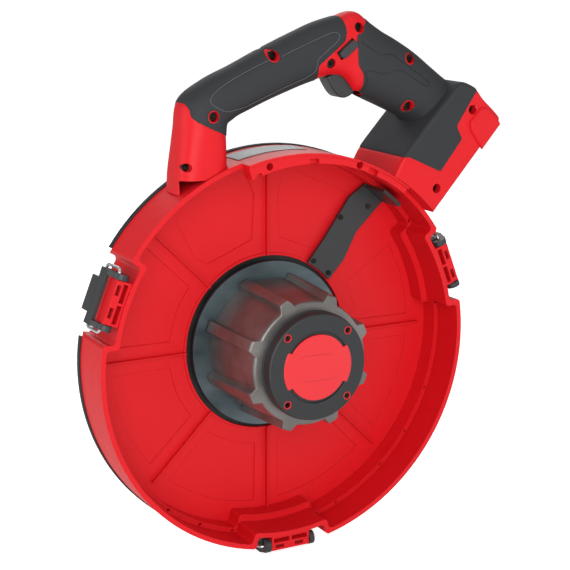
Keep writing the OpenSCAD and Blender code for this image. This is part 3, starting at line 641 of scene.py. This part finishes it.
def outward_by(surface, amount):
    """A surface moved along its own normals by an amount for each point."""
    points, triangles = surface
    a, b, c = (points[triangles[:, k]] for k in range(3))
    across = np.cross(b - a, c - a)
    normals = np.zeros_like(points)
    for k in range(3):
        for axis in range(3):
            normals[:, axis] += np.bincount(triangles[:, k], across[:, axis], len(points))
    normals /= np.maximum(np.linalg.norm(normals, axis=1), 1e-9)[:, None]
    return points + normals * np.asarray(amount)[:, None], triangles


def to_local(x, z, at, turn):
    """x and z in a frame at a point, turned by degrees."""
    c, s = math.cos(math.radians(turn)), math.sin(math.radians(turn))
    return (x - at[0]) * c + (z - at[1]) * s, -(x - at[0]) * s + (z - at[1]) * c


def box_distance(q, p, low, high):
    """Distance to a rectangle, negative inside."""
    dq = np.maximum(low[0] - q, q - high[0])
    dp = np.maximum(low[1] - p, p - high[1])
    return np.maximum(dq, dp)


def handle_openings(points, front):
    """Distance to everything cut from the handle's skin, negative where the skin stays."""
    x, y, z = points.T
    away = DISH_R - np.hypot(x, z)
    q, p = to_local(x, z, TRIGGER_AT, TRIGGER_TURN)
    trigger = -box_distance(q, p, (-10.8, -40), (12.8, 22))
    away = np.maximum(away, np.where(np.abs(y - MID) < TRIGGER_SLOT + 0.2, trigger, -1))
    away = np.maximum(away, np.minimum(trigger, TRIGGER_SLOT - np.abs(y - MID)))
    q, p = to_local(x, z, SELECTOR_AT, SELECTOR_TURN)
    away = np.maximum(away, -box_distance(q, p, (-8.9, -3.9), (9.4, 4.1)))
    q, p = to_local(x, z, FOOT_CORNER, FOOT_TURN)
    slot = np.maximum(box_distance(q, p, (20.5, -9), (140, 12)), np.abs(y - MID) - 29)
    away = np.maximum(away, -slot)
    if front:
        pocket = np.maximum(box_distance(x, z, (-93.4, 100), (-60, 147.3)), y - MID + 4)
        away = np.maximum(away, -pocket)
    return away


def screw_reach(x, z):
    """Distance to each handle screw's middle line."""
    return np.hypot(x[:, None] - SCREWS[:, 0], z[:, None] - SCREWS[:, 1])


def screw_distance(x, z):
    """Distance to the nearest of those lines."""
    return screw_reach(x, z).min(1)


def zone_distance(x, z):
    """Distances to the borders of the grip's and the neck's soft covers, negative inside."""
    grip = outline_distance(rounded(resampled(GRIP_ZONE, 2.6), 2), x, z)
    neck = outline_distance(rounded(resampled(NECK_ZONE, 2.6), 2), x, z)
    return grip, neck


def screw_well(k, sides=40):
    """A round well of the front shell from the skin down to a screw: a circle carried along a profile.

    Its top follows the skin; at the leg, where the skin is steep, it stays a little further below."""
    r = WELL_R[k] * np.array([1, 1, 1, 0])
    a = np.arange(sides) / sides * TAU
    x, z = SCREWS[k][0] + np.outer(r, np.cos(a)), SCREWS[k][1] + np.outer(r, np.sin(a))
    top = skin_depth(x[0], z[0]) + (1.3 if k == 0 else 0.15)
    floor = np.full(sides, SCREW_DEPTH[k] + HEAD)
    points = np.stack([x, np.array([top, (top + floor) / 2, floor, floor]), z], -1).reshape(-1, 3)
    return points, grid_triangles(len(r), sides, wrap=True)[:, ::-1]


def build_handle():
    """Red shells, and the soft covers that stand a little proud of them with rounded borders.

    Under a cover the shell is sunk by 0.9 mm, except round a screw. A cover's height over the skin is
    -0.25 + 0.7 sqrt(1 - (1 - e)^2), where e goes from 0 to 1 over the first millimetre from its border."""
    for front in (True, False):
        side = "front" if front else "rear"
        parts = []
        for skin in (handle_skin, foot_skin):
            points, triangles = skin(front)
            cover = np.minimum(*zone_distance(points[:, 0], points[:, 2]))
            ring = screw_distance(points[:, 0], points[:, 2])
            sunk = np.clip((-cover - 0.3) / 0.8, 0, 1) * -0.9
            sunk = np.where((ring < 4.9) & (cover < 0), -0.1, sunk)
            points, triangles = outward_by((points, triangles), sunk)
            away = handle_openings(points, front)
            if front:
                away = np.maximum(away, np.max(WELL_R - screw_reach(points[:, 0], points[:, 2]), axis=1))
            parts.append(trimmed(points, triangles, away))
        parts.append(foot_sole(front))
        if front:
            parts += [screw_well(k) for k in range(len(SCREWS))]
        piece("handle_shell_" + side, joined(*parts), RED, "housing",
              ("handle_%s_shell" % side,))
        for k, name in enumerate(("grip_cover", "neck_cover")):
            parts = []
            for skin in (handle_skin, foot_skin):
                points, triangles = skin(front)
                cover = zone_distance(points[:, 0], points[:, 2])[k]
                cover = np.maximum(cover, 4.6 - screw_distance(points[:, 0], points[:, 2]))
                edge = np.clip(-cover - 0.25, 0, 1)
                lift = -0.25 + 0.7 * np.sqrt(1 - (1 - edge) ** 2)
                points, triangles = outward_by((points, triangles), lift)
                away = np.maximum(cover + 0.25, handle_openings(points, front))
                if (away < 0).any():
                    parts.append(trimmed(points, triangles, away))
            piece(name + "_soft_" + side, joined(*parts), OVERMOULD, "housing",
                  ("%s_%s" % (name, side),))


# ---------- solids from outlines and wires ----------

def prism(outline, low, high, radius, step=1.2, steps=4, rings=4):
    """A closed outline (u, v) made solid from w = low to w = high, with both rims rounded.

    At angle b round a rim the outline is moved inward by radius (1 - cos b) and lies
    radius (1 - sin b) short of the face; each face is filled with shrinking copies."""
    outline = resampled(outline, step)
    inward, turn = inward_normals(outline)
    outline, inward = outline[::turn], inward[::turn]
    b = np.linspace(0, math.pi / 2, steps + 1)
    inset = radius * (1 - np.cos(b))
    short = radius * (1 - np.sin(b))
    rim, fill = outline + inward * radius, []
    for k in range(1, rings + 1):
        rim = eased(rim, 4)
        fill.insert(0, rim + (rim.mean(0) - rim) * k / rings)
    fill = np.array(fill)
    wall = outline + inward * inset[:, None, None]
    loops = np.concatenate([fill, wall[::-1], wall, fill[::-1]])
    depth = np.concatenate([np.full(rings, low), low + short[::-1], high - short, np.full(rings, high)])
    points = np.concatenate([loops, np.broadcast_to(depth[:, None, None], loops.shape[:2] + (1,))], 2)
    return points.reshape(-1, 3), grid_triangles(len(loops), len(outline), wrap=True)


def inset_corners(corners, amount):
    """Corners of a convex polygon, counter-clockwise, with every side moved inward by an amount."""
    ahead = np.roll(corners, -1, 0) - corners
    ahead /= np.linalg.norm(ahead, axis=1)[:, None]
    after = np.stack([-ahead[:, 1], ahead[:, 0]], 1)
    before = np.roll(after, 1, 0)
    return corners + amount * (before + after) / (1 + np.sum(before * after, 1))[:, None]


def chamfered_plate(corners, low, high, chamfer, parts=8, rings=4):
    """A convex polygon as a plate from w = low to w = high, with a flat chamfer at both faces.

    Loops of the polygon, each with its own inset, run along w and are closed by shrinking copies."""
    corners = np.array(corners, float)

    def loop(amount, share=1):
        inner = inset_corners(corners, amount)
        t = np.arange(parts)[None, :, None] / parts
        run = (inner[:, None] * (1 - t) + np.roll(inner, -1, 0)[:, None] * t).reshape(-1, 2)
        return inner.mean(0) + (run - inner.mean(0)) * share

    faces = [loop(chamfer, share) for share in np.linspace(0, 1, rings + 1)]
    slope = [chamfer * k / 3 for k in (3, 2, 1)]
    inset = [loop(chamfer - down) for down in slope]
    loops = np.array(faces + inset[::-1] + inset + faces[::-1])
    depth = np.array([low] * len(faces) + [low + down for down in slope[::-1]]
                     + [high - down for down in slope] + [high] * len(faces))
    points = np.concatenate([loops, np.broadcast_to(depth[:, None, None], loops.shape[:2] + (1,))], 2)
    return points.reshape(-1, 3), grid_triangles(len(loops), loops.shape[1], wrap=True)


def placed(surface, origin, u, v, w):
    """A surface in u, v, w put at an origin along three directions, kept facing outwards."""
    axes = np.array([u, v, w], float)
    points, triangles = surface
    turned = np.linalg.det(axes) < 0
    return points @ axes + np.array(origin, float), (triangles[:, ::-1] if turned else triangles)


def in_handle(surface, at, turn):
    """A surface in u, v, w put at a point x, z of the handle and turned in its plane by degrees."""
    return placed(surface, (at[0], 0, at[1]), *turned_frame(turn))


def wire(path, radius, across, closed=False, sides=12):
    """Round wire: a circle carried along a path that lies nearly square to one direction."""
    path = np.array(path, float)
    if closed:
        ahead = np.roll(path, -1, 0) - np.roll(path, 1, 0)
        radii = np.full(len(path), radius)
    else:
        ahead = np.gradient(path, axis=0)
        path, ahead = (np.vstack([rows[:1], rows, rows[-1:]]) for rows in (path, ahead))
        radii = np.r_[0.0, np.full(len(path) - 2, radius), 0.0]
    ahead /= np.maximum(np.linalg.norm(ahead, axis=1), 1e-9)[:, None]
    side = np.cross(ahead, across)
    side /= np.linalg.norm(side, axis=1)[:, None]
    up = np.cross(side, ahead)
    t = np.arange(sides) / sides * TAU
    points = (path[:, None] + radii[:, None, None] * (np.cos(t)[None, :, None] * side[:, None]
                                                      + np.sin(t)[None, :, None] * up[:, None]))
    rows = np.vstack([points, points[:1]]) if closed else points
    triangles = grid_triangles(len(rows), sides, wrap=True)
    points = rows.reshape(-1, 3)
    a, b, c = (points[triangles[:, k]] for k in range(3))
    middle = points.mean(0)
    inside_out = np.sum((a - middle) * np.cross(b - middle, c - middle)) < 0
    return points, (triangles[:, ::-1] if inside_out else triangles)


def rounded_path(corners, radius, steps=6):
    """A closed run of corners, each replaced by a quadratic curve that starts radius before it."""
    corners = np.array(corners, float)
    before = np.roll(corners, 1, 0) - corners
    after = np.roll(corners, -1, 0) - corners
    start = corners + before / np.linalg.norm(before, axis=1)[:, None] * radius
    end = corners + after / np.linalg.norm(after, axis=1)[:, None] * radius
    t = np.linspace(0, 1, steps)[None, :, None]
    curve = (1 - t) ** 2 * start[:, None] + 2 * t * (1 - t) * corners[:, None] + t ** 2 * end[:, None]
    return curve.reshape(-1, corners.shape[1])


# ---------- hub ----------

HUB_FRONT, HUB_REAR, CAP_FRONT, CAP_R = -29.5, 40.0, -41.5, 43.9
LUG_HALF, LUG_PHASE = 5.0, 23.8
CAP_SCREWS = 38 * np.array([[math.cos(math.pi / 4 * k), math.sin(math.pi / 4 * k)] for k in (1, 3, 5, 7)])


def smooth_step(v):
    """0 below 0, 1 above 1 and 3 v^2 - 2 v^3 between them."""
    v = np.clip(v, 0, 1)
    return v * v * (3 - 2 * v)


def arc_rows(r, y, radius, start, end, steps):
    """Rows of (radius, y) along an arc about (r, y), angles in degrees from the outward direction."""
    t = np.radians(np.linspace(start, end, steps))
    return np.stack([r + radius * np.cos(t), y + radius * np.sin(t)], 1)


def turned_rows(rows, angles):
    """Rows of (radius, y) for each angle carried round the drum axis; rows may differ by angle."""
    a = np.radians(angles)[None, :]
    r = np.broadcast_to(rows[..., 0], (rows.shape[0], a.shape[1]))
    y = np.broadcast_to(rows[..., 1], r.shape)
    return (np.stack([r * np.cos(a), y, r * np.sin(a)], -1).reshape(-1, 3),
            grid_triangles(*r.shape, wrap=True)[:, ::-1])


def build_casting():
    """Cast drum with eight lugs.

    Two profiles are carried round the axis, the drum's and a lug's, and mixed by m(d), a smooth
    step over the distance d across the nearest lug that is wider at the front, as a fillet is."""
    y = np.r_[np.linspace(HUB_FRONT + 2.6, HUB_FRONT + 8, 5), np.linspace(HUB_FRONT + 11, HUB_REAR - 2, 11)]
    side = np.stack([50.5 + 4.8 * (y - HUB_FRONT) / 69.5, y], 1)
    lug_side = np.stack([56.3 + 4.5 * (y - HUB_FRONT) / 69.5, y], 1)
    face = np.array([[8.0, HUB_FRONT], [40.0, HUB_FRONT], [46.5, HUB_FRONT]])
    drum = np.concatenate([face, arc_rows(48.2, HUB_FRONT + 2.2, 2.2, -90, 0, 8) + [[0.1, 0]], side,
                           [[55.2, HUB_REAR - 0.8], [55.3, HUB_REAR - 0.4], [55.3, HUB_REAR - 0.1]]])
    lug = np.concatenate([face, arc_rows(54.8, HUB_FRONT + 2.6, 1.6, -90, 0, 8), lug_side,
                          [[60.7, HUB_REAR - 0.8], [60.3, HUB_REAR - 0.4], [55.6, HUB_REAR - 0.2]]])
    inner = np.array([[44.0, HUB_REAR - 0.1], [44.0, 0.0], [44.0, -24.0], [8.0, -24.0], [8.0, HUB_FRONT]])
    drum, lug = np.concatenate([drum, inner]), np.concatenate([lug, inner])
    steps = np.r_[0, 1.6, 3.2, np.arange(3.8, 6.3, 0.24), 6.9, 7.6, 8.6, 9.8]
    one = np.r_[-steps[:0:-1], steps, np.arange(12, 33.5, 2.0)]
    angles = (LUG_PHASE + 45 * np.arange(8)[:, None] + one[None, :]).ravel()
    away = np.abs((angles - LUG_PHASE + 22.5) % 45 - 22.5)[None, :]
    across = np.radians(away) * 54
    flare = 2.6 * np.exp(-np.maximum(lug[:, 1] - HUB_FRONT - 1.5, 0) / 2.2)[:, None]
    m = smooth_step((LUG_HALF + 0.45 + flare - across) / (1.5 + flare * 1.25))[..., None]
    rows = drum[:, None] + m * (lug - drum)[:, None]
    piece("hub_drum", turned_rows(rows, angles), CASTING, "hub", ("hub_casting",),
          sharp=60)


def cap_face():
    """Cap: side, rounded edge and face turned about the axis, with four round wells cut and closed."""
    angles = np.arange(360)
    rows = np.concatenate([[[CAP_R - 6, HUB_FRONT - 0.05], [CAP_R - 0.3, HUB_FRONT - 0.05],
                            [CAP_R - 0.3, HUB_FRONT - 0.9], [CAP_R - 1.1, HUB_FRONT - 1.6],
                            [CAP_R - 1.1, HUB_FRONT - 3.4], [CAP_R, HUB_FRONT - 4.1],
                            [CAP_R, CAP_FRONT + 4.6], [CAP_R - 0.9, CAP_FRONT + 1.3]],
                           arc_rows(CAP_R - 2.2, CAP_FRONT + 1.3, 1.3, 0, -90, 7)[1:],
                           np.stack([np.linspace(CAP_R - 2.8, 29.2, 24), np.full(24, CAP_FRONT)], 1),
                           [[28.8, CAP_FRONT + 0.4], [28.8, CAP_FRONT + 1.4], [10, CAP_FRONT + 1.4],
                            [0.0, CAP_FRONT + 1.4]]])[::-1]
    points, triangles = turned_rows(rows[:, None], angles)
    x, y, z = points.T
    hole = np.min(np.hypot(x[:, None] - CAP_SCREWS[:, 0], z[:, None] - CAP_SCREWS[:, 1]), axis=1)
    away = np.where(y < CAP_FRONT + 2, 2.9 - hole, -1.0)
    return trimmed(points, triangles, away)


def ring_at(x, z, rows, sides=36):
    """Rows of (radius, y) turned about a line along Y through x, z."""
    a = np.arange(sides) / sides * TAU
    rows = np.array(rows, float)
    points = np.stack([x + np.outer(rows[:, 0], np.cos(a)), np.repeat(rows[:, 1:], sides, 1),
                       z + np.outer(rows[:, 0], np.sin(a))], -1).reshape(-1, 3)
    return points, grid_triangles(len(rows), sides, wrap=True)[:, ::-1]


def build_cap():
    """The cap, its four ringed screw wells, and the badge with four fine lines in two bent runs, in a dark
    red that paints the shade of grooves.
    """
    piece("hub_cap_shell", cap_face(), CAP, "hub", ("hub_cap",), sharp=40)
    ring = [[0.0, 2.9], [2.4, 2.9], [2.45, 1.6], [2.5, 0.1], [2.75, -0.2], [3.1, -0.22], [3.3, -0.05],
            [3.35, 0.6]]
    ring = np.array(ring) + [0, CAP_FRONT]
    piece("cap_screw_wells", joined(*[ring_at(x, z, ring) for x, z in CAP_SCREWS]), WELL_RED, "hub",
          sharp=50)
    a = np.radians(np.arange(0, 360, 1.5))
    x, z = np.cos(a), np.sin(a)
    r = np.where(np.abs(30.4 * z) < 15.8, 30.4, 26.6)
    badge = prism(np.stack([r * x, r * z], 1), CAP_FRONT - 0.4, CAP_FRONT + 1.35, 0.5, step=1.0, rings=8)
    piece("hub_badge_plate", placed(badge, (0, 0, 0), (1, 0, 0), (0, 0, 1), (0, 1, 0)), BADGE_RED, "hub",
          ("hub_badge",), sharp=40)
    marks = []
    for s in (1, -1):
        path = [[s * u, CAP_FRONT - 0.32, s * v]
                for u, v in ((-17, 7.4), (-15.2, 10.4), (11.5, 10.4), (13.2, 7.6))]
        marks.append(wire(path, 0.17, (0, 1, 0), sides=8))
    # The badge lines' dark red is painted groove shade.
    piece("badge_lines", joined(*marks), BADGE_GROOVE_SHADE, "hub")


# ---------- latches ----------

LATCH_ANGLES = [158.5, 21.5, -90.0]


def build_bails():
    """Each bail is one closed wire: a rectangle with round corners through both of its pivots."""
    low, high, half = (164.2, 8), (166, 30), 25.5
    lean = math.atan2(high[0] - low[0], high[1] - low[1])
    for k, angle in enumerate(LATCH_ANGLES):
        c, s = math.cos(math.radians(angle)), math.sin(math.radians(angle))
        path = rounded_path([[*low, -half], [*low, half], [*high, half], [*high, -half]], 4.5)
        path = np.stack([path[:, 0] * c - path[:, 2] * s, path[:, 1], path[:, 0] * s + path[:, 2] * c], 1)
        normal = np.array([math.cos(lean) * c, -math.sin(lean), math.cos(lean) * s])
        piece("latch_wire_%d" % (k + 1), wire(path, 1.3, normal, closed=True, sides=16), ZINC,
              "bail_%d" % (k + 1), ("latch_bail_%d" % (k + 1),))


# ---------- trigger, selector, foot and fine lines ----------

TRIGGER = [[-9.9, 14], [-9.9, 7], [-9.0, 2], [-8.2, -3], [-6, -7.4], [-2, -9.6], [3, -10], [8, -8.8],
           [11.2, -5], [12, 0], [12, 14]]
SELECTOR = [[-8.5, -2.2], [-6.2, -3.5], [7.5, -3.5], [9, -1.5], [9, 2], [7.2, 3.7], [-7, 3.7], [-8.5, 2]]
PAD = [[65.5, -1], [92, -1], [94, 5], [93, 20], [90, 23], [75, 24], [70, 19], [66.5, 4]]


def turned_frame(degrees):
    """Directions u and v turned in the handle's plane, and w across it."""
    c, s = math.cos(math.radians(degrees)), math.sin(math.radians(degrees))
    return (c, 0, s), (-s, 0, c), (0, 1, 0)


def build_spring():
    """Trigger spring: wire carried along a helix of four turns, between trigger and housing."""
    u, v, w = (np.array(direction) for direction in turned_frame(TRIGGER_TURN))
    origin = np.array([TRIGGER_AT[0], MID, TRIGGER_AT[1]])
    t = np.linspace(0, 1, 97)[:, None]
    path = origin + 3.2 * (np.cos(4 * TAU * t) * u + np.sin(4 * TAU * t) * w) + (14.6 + 7.2 * t) * v
    low, high = (tuple((origin + reach * v) * MM) for reach in (14.2, 22.2))
    piece("trigger_coil", wire(path, 0.45, v, sides=8), ZINC, ("trigger", "housing", low, high),
          ("trigger_spring",))


def build_controls():
    """Trigger and direction selector: rounded outlines made solid across the handle."""
    lever = prism(rounded(resampled(TRIGGER, 5), 3), MID - 8.4, MID + 8.4, 1.8, step=0.6, steps=8, rings=10)
    piece("trigger_lever", in_handle(lever, TRIGGER_AT, TRIGGER_TURN), DARK, "trigger",
          ("trigger",), sharp=89)
    build_spring()
    bar = prism(rounded(SELECTOR, 2), MID - 24, MID + 24, 1.1, step=0.7, steps=5)
    piece("selector_bar", in_handle(bar, SELECTOR_AT, SELECTOR_TURN), DARK, "direction_selector",
          ("direction_selector",), sharp=60)


def skin_depth(x, z):
    """Depth of the front skin at points of the handle's side view: that of its nearest point."""
    points = np.vstack([handle_skin(True)[0], foot_skin(True)[0]])
    near = np.hypot(points[:, 0][None] - x[:, None], points[:, 2][None] - z[:, None])
    reach = np.maximum(near.min(1) + 0.5, 1.6)[:, None]
    return np.min(np.where(near < reach, points[:, 1][None], 99), axis=1)


def skin_line(table, lift=0.42, closed=False):
    """A fine bead along the skin: the path's depth is the skin's, smoothed over its neighbours."""
    path = np.array(table, float)
    if closed:
        path = rounded(resampled(path, 4), 3)
    path = resampled(np.vstack([path, path[:1]]) if closed else path, 0.8, closed=False)
    y = skin_depth(path[:, 0], path[:, 1]) - lift
    for _ in range(6):
        y[1:-1] = (y[:-2] + y[1:-1] + y[2:]) / 3
    return np.stack([path[:, 0], y, path[:, 1]], 1)


def rounded_open(path, passes=2):
    """An open path with its inner corners cut at a quarter, several times over."""
    path = np.array(path, float)
    for _ in range(passes):
        inner = np.stack([0.75 * path[:-1] + 0.25 * path[1:], 0.25 * path[:-1] + 0.75 * path[1:]], 1)
        path = np.vstack([path[:1], inner.reshape(-1, 2), path[-1:]])
    return path


GRIP_PANEL = [[42.9, 254.2], [38.7, 256.2], [30.6, 253.8], [17.1, 248.7], [3.9, 243.7], [-8.7, 238.3],
              [-19.4, 235.8], [-29.5, 231.8], [-47.6, 223.7], [-55.3, 220.1], [-62.1, 215.9], [-67.9, 211.7],
              [-70.2, 208.6], [-70.8, 205.8], [-66.1, 202.8], [-57.0, 198.2], [-40, 201], [-10, 213],
              [14, 221.5], [22.4, 226.5], [21.7, 234.6], [33.1, 243.5], [41.8, 249.8]]
NECK_LINE = [[62.1, 248], [68.1, 243.8], [79.3, 236.9], [82.2, 236.8], [89.7, 238.3], [99.6, 231.4],
             [108.2, 225.7], [116.7, 220.6], [127.1, 212.4], [124.5, 209.5], [116.1, 214.1], [107.7, 219.2],
             [99.8, 224.9], [89.3, 223.5], [82.4, 221.4], [74, 224.7], [67.4, 224.9], [65.7, 222.5],
             [69.5, 218.2], [69.1, 213.3], [66.8, 208.6]]


def build_lines():
    """Fine raised lines on the front soft covers, the grip's in light grey as a painted highlight and the
    neck's near black as painted groove shade, and the raised corners of the foot.
    """
    panel = skin_line(GRIP_PANEL, closed=True)
    keep = screw_distance(panel[:, 0], panel[:, 2]) > 5.2
    starts = np.flatnonzero(np.diff(np.r_[0, keep.astype(int)]) == 1)
    runs = [panel[i:i + np.argmin(np.r_[keep[i:], False])] for i in starts]
    # The grip panel line's light grey is a painted highlight.
    piece("grip_panel_line", joined(*[wire(run, 0.22, (0, 1, 0), sides=6) for run in runs if len(run) > 4]),
          LINE_PAINTED_HIGHLIGHT, "housing")
    # The neck lines' near black is painted groove shade.
    piece("neck_lines", wire(skin_line(rounded_open(NECK_LINE)), 0.26, (0, 1, 0), sides=6), LINE_PAINTED_GROOVE_SHADE,
          "housing")
    inner, outer = FOOT_HALF - 2, FOOT_HALF + 2.6
    for side, low, high in (("front", MID - outer, MID - inner), ("rear", MID + inner, MID + outer)):
        pad = chamfered_plate(PAD, low, high, 1.4)
        piece("foot_pad_" + side, in_handle(pad, FOOT_CORNER, FOOT_TURN), RED, "housing",
              sharp=30)


build_handle()
build_casting()
build_cap()
build_bails()
build_controls()
build_lines()

set_camera()
set_studio()
set_floor()
bpy.context.scene.view_settings.view_transform = "Standard"
